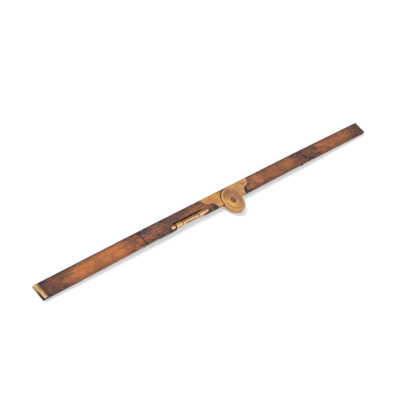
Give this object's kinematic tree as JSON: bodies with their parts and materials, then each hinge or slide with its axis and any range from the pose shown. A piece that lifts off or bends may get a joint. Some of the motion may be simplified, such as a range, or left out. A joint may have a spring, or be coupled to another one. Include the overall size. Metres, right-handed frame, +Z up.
{
  "type": "four-fold rule",
  "caption": "Four-fold wooden pocket rule, open flat, with a round brass arch head joint, brass tips and a turned brass spirit level in one inner edge.",
  "frame": {"origin": "on the head pivot's axis, at the height of the table that the open rule lies on", "axes": "+X along the open rule towards the right leg's tip, +Y towards the rule's outer edge, +Z up out of the reading face"},
  "size_m": [0.609, 0.0334, 0.0084],
  "materials": {
    "boxwood": "old varnished boxwood, worn, stained dark at joints and edges",
    "brass": "dull handled brass",
    "tarnished_brass": "brown-black tarnish, worn grey at the edges",
    "level_brass": "brighter turned brass",
    "steel": "browned iron",
    "vial_glass": "clear",
    "spirit": "yellow-green spirit",
    "plaster": "chalky"
  },
  "bodies": {
    "right_inner": {"right_inner_leg": "boxwood", "top_cheek": "brass", "bottom_cheek": "brass", "head_rivet": "brass", "top_rivet_collar": "steel", "bottom_rivet_collar": "steel", "right_arch_pins": "brass", "right_hinge_inner_leaf": "brass", "right_inner_leaf_pins": "brass"},
    "left_inner": {"left_inner_leg": "boxwood", "centre_tongue": "tarnished_brass", "left_top_arch_plate": "brass", "left_bottom_arch_plate": "brass", "left_arch_pins": "brass", "left_hinge_inner_leaf": "brass", "left_inner_leaf_pins": "brass", "level_case": "level_brass", "level_vial": "vial_glass", "level_spirit": "spirit", "level_bedding": "plaster", "level_left_knob": "level_brass", "level_right_knob": "level_brass", "level_screws": "steel"},
    "right_outer": {"right_outer_leg": "boxwood", "right_hinge_outer_leaf": "brass", "right_hinge_pin": "steel", "right_outer_leaf_pins": "brass", "right_tip": "tarnished_brass", "right_tip_pins": "tarnished_brass"},
    "left_outer": {"left_outer_leg": "boxwood", "left_hinge_outer_leaf": "brass", "left_hinge_pin": "steel", "left_outer_leaf_pins": "brass", "left_tip": "brass", "left_tip_pins": "brass"}
  },
  "joints": [
    {"name": "head_joint", "type": "hinge", "parent": "right_inner", "child": "left_inner", "pos_m": [0, 0, 0.00435], "axis": [0, 0, 1], "range_deg": [0, 180]},
    {"name": "right_middle_joint", "type": "hinge", "parent": "right_inner", "child": "right_outer", "pos_m": [0.1524, 0.00873, 0.0024], "axis": [0, 1, 0], "range_deg": [-0.96, 179.04]},
    {"name": "left_middle_joint", "type": "hinge", "parent": "left_inner", "child": "left_outer", "pos_m": [-0.1524, 0.00873, 0.0024], "axis": [0, -1, 0], "range_deg": [-0.96, 179.04]}
  ]
}
